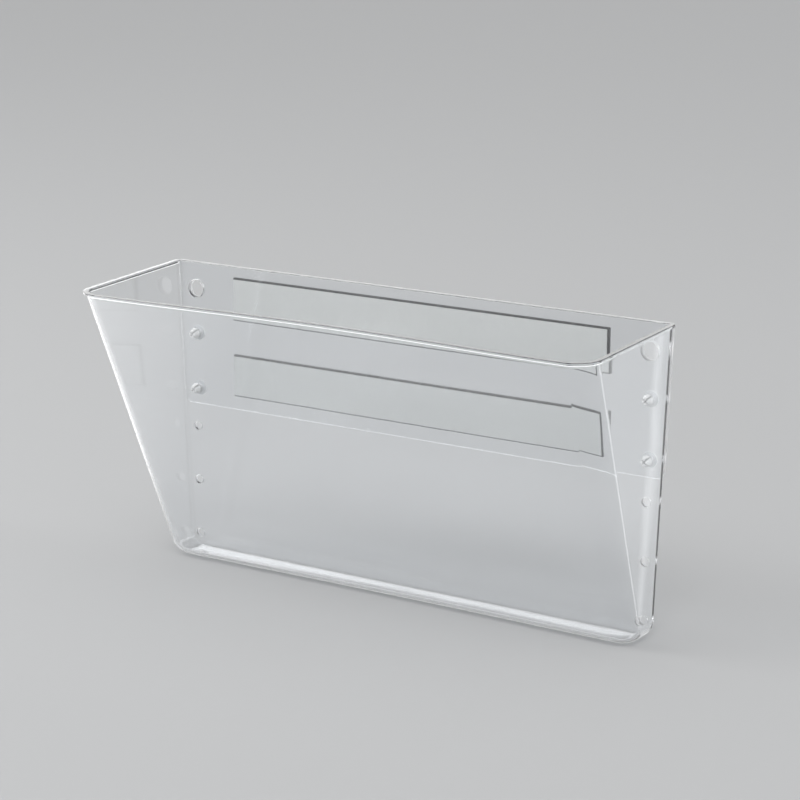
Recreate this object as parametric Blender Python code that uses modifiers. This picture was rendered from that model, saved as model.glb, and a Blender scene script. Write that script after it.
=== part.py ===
"""Clear wedge-shaped document pocket that hangs on a steel surface by magnets.

A thin moulded shell is riveted to a flat mounting plate, and two magnet strips are taped to the plate's back.
Lengths are metres and +Z is up. The origin is the middle of the upper magnet strip's contact face, the wall
that carries the pocket is the plane y = 0, and the pocket opens upwards and reaches towards -Y.
"""
import math

import bmesh
import bpy
from mathutils import Matrix, Vector

# Pocket shell. Widths and depths are those of the walls' outside, without the lip round the rim. Each side
# leans in by SIDE_LEAN from the rim to the floor.
POCKET_WIDTH_AT_RIM = 0.3275
SIDE_LEAN = 0.00725
POCKET_DEPTH_AT_RIM = 0.0945
POCKET_DEPTH_AT_FLOOR = 0.025
BACK_HEIGHT = 0.176
FRONT_HEIGHT = 0.173
WALL = 0.0018
CORNER_RADIUS_AT_RIM = 0.0135
CORNER_RADIUS_AT_FLOOR = 0.0125
REAR_CORNER_RADIUS = 0.0015
INNER_REAR_CORNER_RADIUS = 0.0008
FLOOR_FILLET = 0.009
FRONT_BOW_AT_RIM = 0.0052
FRONT_BOW_AT_FLOOR = 0.001
LIP_WIDTH = 0.0016
LIP_HEIGHT = 0.0014
EDGE_ROUND = 0.0005

# Holes in the back wall, all in one column near each side, and the rivets that fill two of them.
COLUMN_INSET = 0.0067
HANGING_HOLE_DIAMETER = 0.0106
HANGING_HOLE_BELOW_RIM = 0.016
HOLE_PITCH = 0.0337
RIVET_ABOVE_PLATE_EDGE = 0.0096
RIVET_ROWS = ("lower", "upper")
LINK_HOLE_ABOVE_FLOOR = 0.009
LINK_HOLE_COUNT = 3

# Mounting plate behind the back wall.
PLATE_THICKNESS = 0.0018
PLATE_HEIGHT = 0.086
PLATE_LOWER_CORNER_RADIUS = 0.004
PLATE_UPPER_CORNER_RADIUS = 0.0012
PLATE_EDGE_ROUND = 0.0003

# Snap rivet: a flat head behind the plate and a split, barbed end inside the pocket.
RIVET_HEAD_DIAMETER = 0.009
RIVET_HEAD_THICKNESS = 0.0012
RIVET_HEAD_CHAMFER = 0.0004
RIVET_SHANK_DIAMETER = 0.0047
RIVET_BARB_DIAMETER = 0.0064
RIVET_BARB_LAND = 0.0006
RIVET_TIP_DIAMETER = 0.0042
RIVET_TIP_LENGTH = 0.0028
RIVET_SLOT_WIDTH = 0.0009
RIVET_SLOT_FLOOR = 0.001
RIVET_HOLE_CLEARANCE = 0.0003

# Magnet strips and the tape that carries them.
MAGNET_THICKNESS = 0.002
MAGNET_HEIGHT = 0.0254
MAGNET_EDGE_ROUND = 0.0004
MAGNET_END_CLEARANCE = 0.025
MAGNET_FROM_PLATE_EDGE = 0.020
TAPE_THICKNESS = 0.0008
TAPE_MARGIN = 0.001

# Clearances and working allowances.
SEAT_GAP = 0.0003
CUT_OVERRUN = 0.002
MERGE_DISTANCE = 0.00001

# Fineness of the curved surfaces.
CORNER_STEPS = 8
REAR_CORNER_STEPS = 3
FRONT_STEPS = 20
FILLET_STEPS = 6
LIP_COVE_STEPS = 3
HANGING_HOLE_SIDES = 40
RIVET_SIDES = 24
PLATE_CORNER_STEPS = 6
BEVEL_SEGMENTS = 2
BEVEL_ANGLE_DEGREES = 40
SMOOTH_ANGLE_DEGREES = 35
RIVET_TURN_DEGREES = 40

# Planes of the stack, from the wall forwards.
TAPE_REAR_Y = -(MAGNET_THICKNESS + SEAT_GAP)
PLATE_REAR_Y = TAPE_REAR_Y - TAPE_THICKNESS - SEAT_GAP
SHELL_REAR_Y = PLATE_REAR_Y - PLATE_THICKNESS - SEAT_GAP

# Heights: the rim lies one plate-edge distance above the upper magnet's middle, which is the origin.
RIM_Z = MAGNET_FROM_PLATE_EDGE
FLOOR_Z = RIM_Z - BACK_HEIGHT
PLATE_LOW_Z = RIM_Z - PLATE_HEIGHT
LOWER_MAGNET_Z = PLATE_LOW_Z + MAGNET_FROM_PLATE_EDGE
LOWER_RIVET_Z = PLATE_LOW_Z + RIVET_ABOVE_PLATE_EDGE

POCKET_WIDTH_AT_FLOOR = POCKET_WIDTH_AT_RIM - 2 * SIDE_LEAN
COLUMN_X = POCKET_WIDTH_AT_FLOOR / 2 - COLUMN_INSET
RIVET_HOLE_DIAMETER = RIVET_SHANK_DIAMETER + 2 * RIVET_HOLE_CLEARANCE
RIVET_HEAD_REAR_Y = PLATE_REAR_Y + SEAT_GAP + RIVET_HEAD_THICKNESS

CLEAR_PLASTIC = {"colour": (0.90, 0.93, 0.96), "roughness": 0.08, "metallic": 0.0, "transmission": 0.9}
MAGNET_BLACK = {"colour": (0.035, 0.033, 0.032), "roughness": 0.6, "metallic": 0.0, "transmission": 0.0}
TAPE_WHITE = {"colour": (0.86, 0.86, 0.84), "roughness": 0.7, "metallic": 0.0, "transmission": 0.0}


def clear_scene():
    """Remove whatever the file holds, so that the script always starts from nothing."""
    for old in list(bpy.data.objects):
        bpy.data.objects.remove(old, do_unlink=True)


def new_collection(name):
    collection = bpy.data.collections.new(name)
    bpy.context.scene.collection.children.link(collection)
    return collection


def principled(name, finish):
    """One Principled material for one piece."""
    material = bpy.data.materials.new(name)
    material.use_nodes = True
    shader = material.node_tree.nodes["Principled BSDF"]
    shader.inputs["Base Color"].default_value = (*finish["colour"], 1.0)
    shader.inputs["Roughness"].default_value = finish["roughness"]
    shader.inputs["Metallic"].default_value = finish["metallic"]
    shader.inputs["Transmission Weight"].default_value = finish["transmission"]
    return material


def add_object(name, data, collection, location=(0.0, 0.0, 0.0), parent=None):
    piece = bpy.data.objects.new(name, data)
    piece.location = location
    piece.parent = parent
    collection.objects.link(piece)
    return piece


def add_cutter(name, mesh, location=(0.0, 0.0, 0.0)):
    cutter = add_object(name, mesh, cutters, location)
    cutter.hide_render = True
    cutter.display_type = "WIRE"
    return cutter


def cut(piece, cutter):
    boolean = piece.modifiers.new(cutter.name, "BOOLEAN")
    boolean.operation = "DIFFERENCE"
    boolean.solver = "EXACT"
    boolean.object = cutter


def round_edges(piece, width):
    bevel = piece.modifiers.new("rounded edges", "BEVEL")
    bevel.width = width
    bevel.segments = BEVEL_SEGMENTS
    bevel.limit_method = "ANGLE"
    bevel.angle_limit = math.radians(BEVEL_ANGLE_DEGREES)


def box_mesh(name, low, high):
    """A box between two corners, from the unit cube."""
    low, high = Vector(low), Vector(high)
    shape = bmesh.new()
    bmesh.ops.create_cube(shape, size=1.0)
    size = Matrix.Diagonal((*(high - low), 1.0))
    bmesh.ops.transform(shape, matrix=Matrix.Translation((low + high) / 2) @ size, verts=shape.verts)
    mesh = bpy.data.meshes.new(name)
    shape.to_mesh(mesh)
    shape.free()
    return mesh


def smooth(mesh):
    mesh.shade_smooth()
    mesh.set_sharp_from_angle(angle=math.radians(SMOOTH_ANGLE_DEGREES))


def between(at_floor, at_rim, height, rim_height=BACK_HEIGHT):
    """A size that changes evenly from the floor to the rim."""
    return at_floor + (at_rim - at_floor) * height / rim_height


def arc_points(centre, radius, start, end, steps):
    """Points on an arc in the XY plane between two angles in quarter turns."""
    points = []
    for step in range(steps + 1):
        turn = math.pi / 2 * (start + (end - start) * step / steps)
        points.append((centre[0] + radius * math.cos(turn), centre[1] + radius * math.sin(turn)))
    return points


def level_section(height, inset, rear, rear_radius):
    """Plan outline of the walls at one height above the floor, drawn in by the inset: from the rear right
    corner, round the bowed front, to the rear left corner."""
    half = between(POCKET_WIDTH_AT_FLOOR, POCKET_WIDTH_AT_RIM, height) / 2
    depth = between(POCKET_DEPTH_AT_FLOOR, POCKET_DEPTH_AT_RIM, height, FRONT_HEIGHT)
    radius = between(CORNER_RADIUS_AT_FLOOR, CORNER_RADIUS_AT_RIM, height, FRONT_HEIGHT)
    bow = between(FRONT_BOW_AT_FLOOR, FRONT_BOW_AT_RIM, height, FRONT_HEIGHT)
    straight = half - radius
    right = arc_points((half - inset - rear_radius, rear - rear_radius), rear_radius, 1, 0, REAR_CORNER_STEPS)
    right += arc_points((straight, radius - depth), radius - inset, 0, -1, CORNER_STEPS)
    front = []
    for step in range(1, FRONT_STEPS):
        share = 1 - 2 * step / FRONT_STEPS
        front.append((straight * share, inset - depth + bow * (1 - share ** 2) ** 2))
    left = [(-x, y) for x, y in reversed(right)]
    return [Vector((x, y, height)) for x, y in right + front + left]


def outer_section(height, inset):
    return level_section(height, inset, 0.0, REAR_CORNER_RADIUS)


def inner_section(height, inset):
    return level_section(height, inset, -WALL, INNER_REAR_CORNER_RADIUS)


def rim_section(section, inset, below=0.0):
    """The section in the sloping plane of the rim, or a little below it. Each point slides along its own
    straight line up the wall until it meets that plane."""
    slope = (BACK_HEIGHT - FRONT_HEIGHT) / POCKET_DEPTH_AT_RIM
    points = []
    for low, high in zip(section(0.0, inset), section(BACK_HEIGHT, inset)):
        share = (BACK_HEIGHT - below + slope * low.y) / (BACK_HEIGHT - slope * (high.y - low.y))
        points.append(low.lerp(high, share))
    return points


def fillet_sections(section, floor, outside, radius):
    """Sections up a rounded edge that starts flat on a floor and ends in a wall."""
    sections = []
    for step in range(FILLET_STEPS + 1):
        turn = math.pi / 2 * step / FILLET_STEPS
        rise, drawn_in = radius * (1 - math.cos(turn)), radius * (1 - math.sin(turn))
        sections.append(section(floor + rise, outside + drawn_in))
    return sections


def lip_sections():
    """Sections of the lip round the rim: a cove out of the wall, then a flat face up to the rim."""
    sections = []
    for step in range(LIP_COVE_STEPS + 1):
        turn = math.pi / 2 * step / LIP_COVE_STEPS
        out, below = LIP_WIDTH * (1 - math.cos(turn)), LIP_HEIGHT + LIP_WIDTH * (1 - math.sin(turn))
        sections.append(rim_section(outer_section, -out, below))
    sections.append(rim_section(outer_section, -LIP_WIDTH))
    return sections


def shell_mesh():
    """The shell lofted in one run: up the outside from the floor to the rim, then down the inside."""
    outside = fillet_sections(outer_section, 0.0, 0.0, FLOOR_FILLET) + lip_sections()
    inside = fillet_sections(inner_section, WALL, WALL, FLOOR_FILLET - WALL)
    inside.append(rim_section(inner_section, WALL))
    shape = bmesh.new()
    rows = [[shape.verts.new(point) for point in section] for section in outside + inside[::-1]]
    shape.faces.new(rows[0])
    for lower, upper in zip(rows, rows[1:]):
        for index in range(len(lower)):
            shape.faces.new((lower[index], lower[index - 1], upper[index - 1], upper[index]))
    shape.faces.new(rows[-1][::-1])
    mesh = bpy.data.meshes.new("pocket_shell")
    shape.to_mesh(mesh)
    shape.free()
    return mesh


def hole_places():
    """Every hole in the back wall, as (x, z, diameter, sides)."""
    small = [LOWER_RIVET_Z + HOLE_PITCH * row for row in range(len(RIVET_ROWS))]
    small += [FLOOR_Z + LINK_HOLE_ABOVE_FLOOR + HOLE_PITCH * row for row in range(LINK_HOLE_COUNT)]
    places = [(z, RIVET_HOLE_DIAMETER, RIVET_SIDES) for z in small]
    places.append((RIM_Z - HANGING_HOLE_BELOW_RIM, HANGING_HOLE_DIAMETER, HANGING_HOLE_SIDES))
    return [(side * COLUMN_X, *place) for side in (-1, 1) for place in places]


def back_wall_drills():
    """One cylinder through the back wall for each hole."""
    shape = bmesh.new()
    forwards = Matrix.Rotation(math.pi / 2, 4, "X")
    for x, z, diameter, sides in hole_places():
        centre = Matrix.Translation((x, SHELL_REAR_Y - WALL / 2, z))
        bmesh.ops.create_cone(shape, cap_ends=True, segments=sides, radius1=diameter / 2,
                              radius2=diameter / 2, depth=WALL + 2 * CUT_OVERRUN, matrix=centre @ forwards)
    mesh = bpy.data.meshes.new("back_wall_drills")
    shape.to_mesh(mesh)
    shape.free()
    return add_cutter("back_wall_drills", mesh)


def pocket_shell():
    mesh = shell_mesh()
    smooth(mesh)
    mesh.materials.append(principled("clear shell plastic", CLEAR_PLASTIC))
    shell = add_object("pocket_shell", mesh, parts, (0.0, SHELL_REAR_Y, FLOOR_Z), root)
    round_edges(shell, EDGE_ROUND)
    cut(shell, back_wall_drills())


def plate_outline():
    """Plate outline in its own plane, with the shell's side taper and two sizes of rounded corner."""
    low = BACK_HEIGHT - PLATE_HEIGHT
    lower_half = between(POCKET_WIDTH_AT_FLOOR, POCKET_WIDTH_AT_RIM, low) / 2
    upper_half = POCKET_WIDTH_AT_RIM / 2
    lower = arc_points((lower_half - PLATE_LOWER_CORNER_RADIUS, low + PLATE_LOWER_CORNER_RADIUS),
                       PLATE_LOWER_CORNER_RADIUS, -1, 0, PLATE_CORNER_STEPS)
    upper = arc_points((upper_half - PLATE_UPPER_CORNER_RADIUS, BACK_HEIGHT - PLATE_UPPER_CORNER_RADIUS),
                       PLATE_UPPER_CORNER_RADIUS, 0, 1, PLATE_CORNER_STEPS)
    right = lower + upper
    return right + [(-x, y) for x, y in reversed(right)]


def add_outline(curve, points):
    spline = curve.splines.new("POLY")
    spline.points.add(len(points) - 1)
    for target, (x, y) in zip(spline.points, points):
        target.co = (x, y, 0.0, 1.0)
    spline.use_cyclic_u = True


def mounting_plate():
    """A flat outline with its holes, extruded to the plate's thickness and stood upright."""
    curve = bpy.data.curves.new("mounting_plate", "CURVE")
    curve.dimensions = "2D"
    curve.fill_mode = "BOTH"
    curve.extrude = PLATE_THICKNESS / 2
    add_outline(curve, plate_outline())
    for x, z, diameter, sides in hole_places():
        if z > PLATE_LOW_Z:
            add_outline(curve, arc_points((x, z - FLOOR_Z), diameter / 2, 0, 4, sides)[:-1])
    middle_y = PLATE_REAR_Y - PLATE_THICKNESS / 2
    plate = add_object("mounting_plate", curve, parts, (0.0, middle_y, FLOOR_Z), root)
    plate.rotation_euler = (math.pi / 2, 0.0, 0.0)
    weld = plate.modifiers.new("closed caps", "WELD")
    weld.merge_threshold = MERGE_DISTANCE
    round_edges(plate, PLATE_EDGE_ROUND)
    curve.materials.append(principled("clear plate plastic", CLEAR_PLASTIC))


def rivet_profile():
    """Half section of a snap rivet: radius and height, from the tip's centre down to the head's centre."""
    grip = SEAT_GAP + PLATE_THICKNESS + SEAT_GAP + WALL + SEAT_GAP
    shoulder = RIVET_HEAD_THICKNESS + grip
    land = shoulder + RIVET_BARB_LAND
    tip = land + RIVET_TIP_LENGTH
    shank, barb, head = RIVET_SHANK_DIAMETER / 2, RIVET_BARB_DIAMETER / 2, RIVET_HEAD_DIAMETER / 2
    return [(0.0, tip), (RIVET_TIP_DIAMETER / 2, tip), (barb, land), (barb, shoulder), (shank, shoulder),
            (shank, RIVET_HEAD_THICKNESS), (head, RIVET_HEAD_THICKNESS), (head, RIVET_HEAD_CHAMFER),
            (head - RIVET_HEAD_CHAMFER, 0.0), (0.0, 0.0)]


def rivet_mesh():
    """A turned rivet whose end is split in four by two crossed slots."""
    profile = rivet_profile()
    line = bpy.data.meshes.new("push_rivet")
    line.from_pydata([(radius, 0.0, height) for radius, height in profile],
                     [(index, index + 1) for index in range(len(profile) - 1)], [])
    turned = add_object("turned_rivet", line, cutters)
    screw = turned.modifiers.new("turned", "SCREW")
    screw.steps = RIVET_SIDES
    screw.render_steps = RIVET_SIDES
    screw.use_merge_vertices = True
    screw.merge_threshold = MERGE_DISTANCE
    thin, wide = RIVET_SLOT_WIDTH / 2, RIVET_HEAD_DIAMETER / 2
    low, high = RIVET_HEAD_THICKNESS + RIVET_SLOT_FLOOR, profile[0][1] + CUT_OVERRUN
    slots = []
    for x, y in ((thin, wide), (wide, thin)):
        slots.append(add_cutter("rivet_slot", box_mesh("rivet_slot", (-x, -y, low), (x, y, high))))
    for slot in slots:
        cut(turned, slot)
    bpy.context.view_layer.update()
    solid = turned.evaluated_get(bpy.context.evaluated_depsgraph_get())
    mesh = bpy.data.meshes.new_from_object(solid)
    mesh.name = "push_rivet"
    for helper in (turned, *slots):
        bpy.data.objects.remove(helper, do_unlink=True)
    smooth(mesh)
    mesh.materials.append(principled("clear rivet plastic", CLEAR_PLASTIC))
    return mesh


def push_rivets():
    """Four snap rivets that share one mesh, with their heads behind the plate and their tips forwards."""
    mesh = rivet_mesh()
    for side, x in (("left", -COLUMN_X), ("right", COLUMN_X)):
        for row, level in enumerate(RIVET_ROWS):
            place = (x, RIVET_HEAD_REAR_Y, LOWER_RIVET_Z + HOLE_PITCH * row)
            rivet = add_object(f"push_rivet_{side}_{level}", mesh, parts, place, root)
            rivet.rotation_euler = (math.pi / 2, math.radians(RIVET_TURN_DEGREES), 0.0)


def strip_mesh(name, half_length, half_height, thickness, finish):
    """A flat strip whose rear face lies in the plane y = 0."""
    mesh = box_mesh(name, (-half_length, -thickness, -half_height), (half_length, 0.0, half_height))
    mesh.materials.append(finish)
    return mesh


def magnets():
    """Two magnet strips, each on its own band of double-sided tape."""
    half_length, half_height = COLUMN_X - MAGNET_END_CLEARANCE, MAGNET_HEIGHT / 2
    strip = strip_mesh("magnet_strip", half_length, half_height, MAGNET_THICKNESS,
                       principled("black magnet", MAGNET_BLACK))
    tape = strip_mesh("magnet_tape", half_length - TAPE_MARGIN, half_height - TAPE_MARGIN, TAPE_THICKNESS,
                      principled("white tape", TAPE_WHITE))
    for level, z in (("upper", 0.0), ("lower", LOWER_MAGNET_Z)):
        magnet = add_object(f"magnet_strip_{level}", strip, parts, (0.0, 0.0, z), root)
        round_edges(magnet, MAGNET_EDGE_ROUND)
        add_object(f"magnet_tape_{level}", tape, parts, (0.0, TAPE_REAR_Y, z), root)


clear_scene()
parts = new_collection("document_pocket")
cutters = new_collection("cutters")
root = add_object("wall_contact", None, parts)
pocket_shell()
mounting_plate()
push_rivets()
magnets()
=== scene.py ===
"""Looks of a clear document pocket that hangs by magnets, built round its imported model.

Lengths are metres, +Z is up, and the wall that carries the pocket is the plane y = 0. The shell is lofted
between outlines at its floor and its rim, and its holes and its snap rivets come from turned profiles.
"""
import math
from functools import partial

import bmesh
import bpy
from bpy.props import FloatProperty, FloatVectorProperty, PointerProperty
from mathutils import Matrix, Vector


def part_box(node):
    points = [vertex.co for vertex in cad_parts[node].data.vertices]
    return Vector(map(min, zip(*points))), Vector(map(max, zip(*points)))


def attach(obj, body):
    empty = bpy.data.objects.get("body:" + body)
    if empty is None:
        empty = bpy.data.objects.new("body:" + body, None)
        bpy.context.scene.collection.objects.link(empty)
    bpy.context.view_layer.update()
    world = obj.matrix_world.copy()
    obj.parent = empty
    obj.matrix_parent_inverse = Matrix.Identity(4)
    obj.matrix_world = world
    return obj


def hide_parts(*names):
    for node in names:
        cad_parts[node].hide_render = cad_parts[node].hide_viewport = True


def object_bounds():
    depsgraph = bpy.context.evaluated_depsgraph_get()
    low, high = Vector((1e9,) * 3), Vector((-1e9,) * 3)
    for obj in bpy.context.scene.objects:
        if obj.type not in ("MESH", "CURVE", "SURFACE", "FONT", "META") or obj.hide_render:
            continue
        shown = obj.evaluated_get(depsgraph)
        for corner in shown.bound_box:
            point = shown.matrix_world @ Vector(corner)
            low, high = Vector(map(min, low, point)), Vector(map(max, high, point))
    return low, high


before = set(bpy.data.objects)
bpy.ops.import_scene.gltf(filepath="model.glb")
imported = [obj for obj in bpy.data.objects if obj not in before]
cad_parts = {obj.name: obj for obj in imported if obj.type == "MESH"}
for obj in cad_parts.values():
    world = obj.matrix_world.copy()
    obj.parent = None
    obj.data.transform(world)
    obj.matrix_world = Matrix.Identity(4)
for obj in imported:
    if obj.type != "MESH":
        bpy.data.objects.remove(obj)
CAD_LOW, CAD_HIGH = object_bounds()

bl_info = {
    "name": "Document Pocket",
    "version": (1, 0, 0),
    "blender": (4, 5, 0),
    "location": "View3D > Sidebar > Pocket",
    "description": "Builds a clear hanging document pocket, its plate, rivets and magnets",
    "category": "Object",
}

RIVETS = ("push_rivet_left_upper", "push_rivet_left_lower",
          "push_rivet_right_upper", "push_rivet_right_lower")
MAGNETS = ("magnet_strip_upper", "magnet_strip_lower")
TAPES = ("magnet_tape_upper", "magnet_tape_lower")

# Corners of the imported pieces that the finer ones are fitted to.
SHELL_LOW, SHELL_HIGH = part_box("pocket_shell")
PLATE_LOW, PLATE_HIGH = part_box("mounting_plate")
RIVET_LOW, RIVET_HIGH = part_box("push_rivet_right_upper")
SHELL_TALL = SHELL_HIGH.z - SHELL_LOW.z
PLATE_THICKNESS = PLATE_HIGH.y - PLATE_LOW.y
RIVET_LENGTH = RIVET_HIGH.y - RIVET_LOW.y
RIVET_PLACE = (RIVET_LOW + RIVET_HIGH) / 2
RIVET_PITCH = RIVET_LOW.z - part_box("push_rivet_right_lower")[0].z

# Fineness of the curved surfaces.
CORNER_STEPS = 56
REAR_CORNER_STEPS = 6
FRONT_STEPS = 64
FILLET_STEPS = 14
COVE_STEPS = 6
EDGE_STEPS = 4
ROUND_SIDES = 64
PLATE_CORNER_STEPS = 12
# A narrow strip beside a rounding, which keeps its shading off the flat face.
HOLD = 0.0004
# Points nearer than this are one point.
MERGE_DISTANCE = 0.000005

# Edges sharper than these angles stay sharp, and flat faces weigh this much in the shading.
SHARP_ANGLE = math.radians(50)
RIVET_SHARP_ANGLE = math.radians(35)
FLAT_WEIGHT = 90
# A face whose normal has less of +Y than this runs through the thickness of the wall.
CUT_SLOPE = 0.8

LINK_HOLES = 3
# A rivet lies along the depth, with its slots turned so that they don't stand upright.
RIVET_TURN = (math.pi / 2, math.radians(40), 0.0)

PLASTIC_IOR = 1.57
NYLON_IOR = 1.53
BLACK = (0.0, 0.0, 0.0)

# The studio: lamps by their offset from the object and their size, and the floor.
LEFT_SOFTBOX = (Vector((-1.6, -1.2, 1.5)), (1.2, 1.6))
RIGHT_STRIP = (Vector((1.9, 0.6, 0.9)), (0.5, 1.6))
SUN_WAY = Vector((-0.3, 0.55, -0.78))
SUN_SPREAD = math.radians(30)
SENSOR_WIDTH = 36.0
FLOOR_RADIUS = 30.0
FLOOR_SIDES = 96
# How far beside the object the floor's painted reflection starts to change, and where the change ends.
GLEAM_START = 0.01
GLEAM_STOP = 0.15
# Painted beams in the floor's painted reflection, which paint highlight lines on the right front corner and
# side:
# foot, turn from +X, half width at the foot, and how fast they widen.
CORNER_PAINTED_BEAM = ((0.170, -0.006, 0.0), math.radians(44.0), 0.001, 0.18)
SIDE_PAINTED_BEAM = ((0.160, -0.018, 0.0), math.radians(64.5), 0.002, 0.009)
# Where the world's light takes which setting's colour, as the upward part of the direction.
WORLD_STOPS = ((0.15, "horizon"), (0.18, "glow"), (0.33, "glow"),
               (0.42, "dusk"), (0.6, "dusk"), (0.72, "zenith"))


def number(name, description, default, **limits):
    return FloatProperty(name=name, description=description, default=default, **limits)


length = partial(number, unit="LENGTH", precision=5)
share = partial(number, min=0.0, max=1.0)
amount = partial(number, min=0.0)
angle = partial(number, subtype="ANGLE")


def tint(name, description, default, brightest=1.0):
    return FloatVectorProperty(name=name, description=description, default=default, subtype="COLOR", size=3,
                               min=0.0, max=brightest)


class ShellSizes(bpy.types.PropertyGroup):
    """Sizes of the moulded shell that its box doesn't say."""
    wall: length("Wall", "Thickness of every wall and of the floor", 0.0018)
    side_lean: length("Side Lean", "How far each side leans in from the rim to the floor", 0.00725)
    floor_depth: length("Floor Depth", "Outside depth at the floor, from the back wall to the front", 0.025)
    front_drop: length("Front Drop", "How much lower the rim is at the front than at the back", 0.003)
    rim_corner: length("Rim Corner", "Radius of the front corners at the rim", 0.0135)
    floor_corner: length("Floor Corner", "Radius of the front corners at the floor", 0.0125)
    rear_corner: length("Rear Corner", "Radius outside between the back wall and a side", 0.0015)
    inner_rear_corner: length("Inner Rear Corner", "Radius inside between the back wall and a side", 0.0008)
    fillet: length("Floor Fillet", "Radius outside between the floor and the walls", 0.009)
    rim_bow: length("Rim Bow", "How far the front wall bows in at the rim", 0.0052)
    floor_bow: length("Floor Bow", "How far the front wall bows in at the floor", 0.001)
    lip_width: length("Lip Width", "How far the lip stands out from the walls", 0.0016)
    lip_height: length("Lip Height", "Height of the lip's flat face", 0.0014)
    edge: length("Edge Radius", "Rounding of the shell's small edges", 0.0004)


class HoleSizes(bpy.types.PropertyGroup):
    """Sizes of the holes in the back wall and the plate."""
    hanging: length("Hanging Hole", "Diameter of the holes near the rim", 0.0106)
    below_rim: length("Below Rim", "Distance of the hanging holes' middle below the rim", 0.016)
    small: length("Small Hole", "Diameter of the rivet and link holes", 0.0053)
    above_floor: length("Above Floor", "Height of the lowest link hole above the floor", 0.009)
    edge: length("Hole Edge", "Rounding of the holes' edges", 0.00025)


class PlateSizes(bpy.types.PropertyGroup):
    """Sizes of the mounting plate that its box doesn't say."""
    lower_corner: length("Lower Corner", "Radius of the plate's lower corners", 0.004)
    upper_corner: length("Upper Corner", "Radius of the plate's upper corners", 0.0012)
    edge: length("Plate Edge", "Rounding of the plate's edges", 0.0003)


class RivetSizes(bpy.types.PropertyGroup):
    """Sizes of a snap rivet."""
    head: length("Head", "Diameter of the head behind the plate", 0.009)
    head_thickness: length("Head Thickness", "Thickness of the head", 0.0012)
    shank: length("Shank", "Diameter of the shank", 0.0047)
    barb: length("Barb", "Diameter of the barbed end", 0.0064)
    barb_land: length("Barb Land", "Width of the barb's straight band", 0.0006)
    tip: length("Tip", "Diameter of the tip", 0.0042)
    tip_length: length("Tip Length", "Length of the cone from the barb to the tip", 0.0028)
    slot: length("Slot", "Width of the two crossed slots", 0.0009)
    slot_floor: length("Slot Floor", "Solid shank left between the head and the slots", 0.001)
    edge: length("Rivet Edge", "Rounding of the rivet's edges", 0.00025)


class FinishSettings(bpy.types.PropertyGroup):
    """Colours and gloss of the pieces."""
    clear: tint("Clear Plastic", "What a surface of the clear plastic lets through", (0.978, 0.984, 0.990))
    clear_depth: tint("Clear Depth", "What is left of light that runs along a wall", (0.60, 0.68, 0.76))
    clear_density: amount("Clear Density", "How fast a wall takes up light along it", 18.0)
    clear_shadow: tint("Clear Shadow", "Lamp light that each surface lets through", (0.95, 0.953, 0.956))
    clear_gloss: share("Clear Roughness", "Lowest roughness of the clear plastic", 0.02)
    cut_roughness: share("Cut Roughness", "Roughness of the plate's edges and of the holes", 0.35)
    cut_haze: share("Cut Haze", "How white and cloudy the plate's edges are", 0.5)
    rivet: tint("Rivet Plastic", "Colour of the milky rivets", (0.96, 0.965, 0.965))
    magnet: tint("Magnet", "Colour of the magnet strips", (0.030, 0.028, 0.027))
    tape: tint("Tape", "Colour of the foam tape", (0.84, 0.84, 0.81))


class StageSettings(bpy.types.PropertyGroup):
    """Camera, lamps, floor, and the floor's painted reflection."""
    camera_place: FloatVectorProperty(name="Camera Place", description="Where the camera stands", size=3,
                                      default=(0.7192, -1.1394, 0.3055), subtype="TRANSLATION")
    camera_turn: angle("Camera Turn", "Turn of the view to the left of +Y", math.radians(32.64))
    camera_tilt: angle("Camera Tilt", "How far the view looks down", math.radians(14.59))
    camera_roll: angle("Camera Roll", "Roll of the view", math.radians(-0.13))
    camera_lens: amount("Lens", "Focal length in millimetres", 110.11, unit="CAMERA")
    floor: tint("Floor", "Colour of the floor", (0.53, 0.535, 0.54))
    # Gleams and beams: painted reflection, a glow of the floor that only glossy reflection rays see and that
    # lights nothing. It paints highlight lines and white edges on the clear plastic.
    gleam: tint("Floor Gleam", "Light of the floor that polished surfaces mirror", (1.1, 1.11, 1.12), 10.0)
    left_gleam: tint("Left Gleam", "The same light, to the left of the object", (2.8, 2.8, 2.8), 10.0)
    right_gleam: tint("Right Gleam", "The same light, to the right of the object", (1.3, 1.32, 1.34), 10.0)
    corner_beam: amount("Corner Beam", "Strength of the beam that the right front corner mirrors", 2.0)
    side_beam: amount("Side Beam", "Strength of the beam that the right side mirrors", 0.8)
    horizon: tint("Horizon", "Light of the world at the height of the eye", (0.53, 0.535, 0.54))
    glow: tint("Glow", "Light of the world above the horizon", (2.1, 2.1, 2.1), 10.0)
    dusk: tint("Dusk", "Light of the world between the glow and the ceiling", (0.10, 0.105, 0.11))
    zenith: tint("Zenith", "Light of the world overhead", (0.5, 0.5, 0.5))
    left_power: amount("Left Softbox", "Power of the softbox at the front left", 26.0, unit="POWER")
    right_power: amount("Right Strip", "Power of the strip lamp at the back right", 5.0, unit="POWER")
    sun_strength: amount("Sun", "Strength of the broad sun", 0.9)


SETTINGS = {"shell_sizes": ShellSizes, "hole_sizes": HoleSizes, "plate_sizes": PlateSizes,
            "rivet_sizes": RivetSizes, "pocket_finish": FinishSettings, "pocket_stage": StageSettings}


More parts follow.
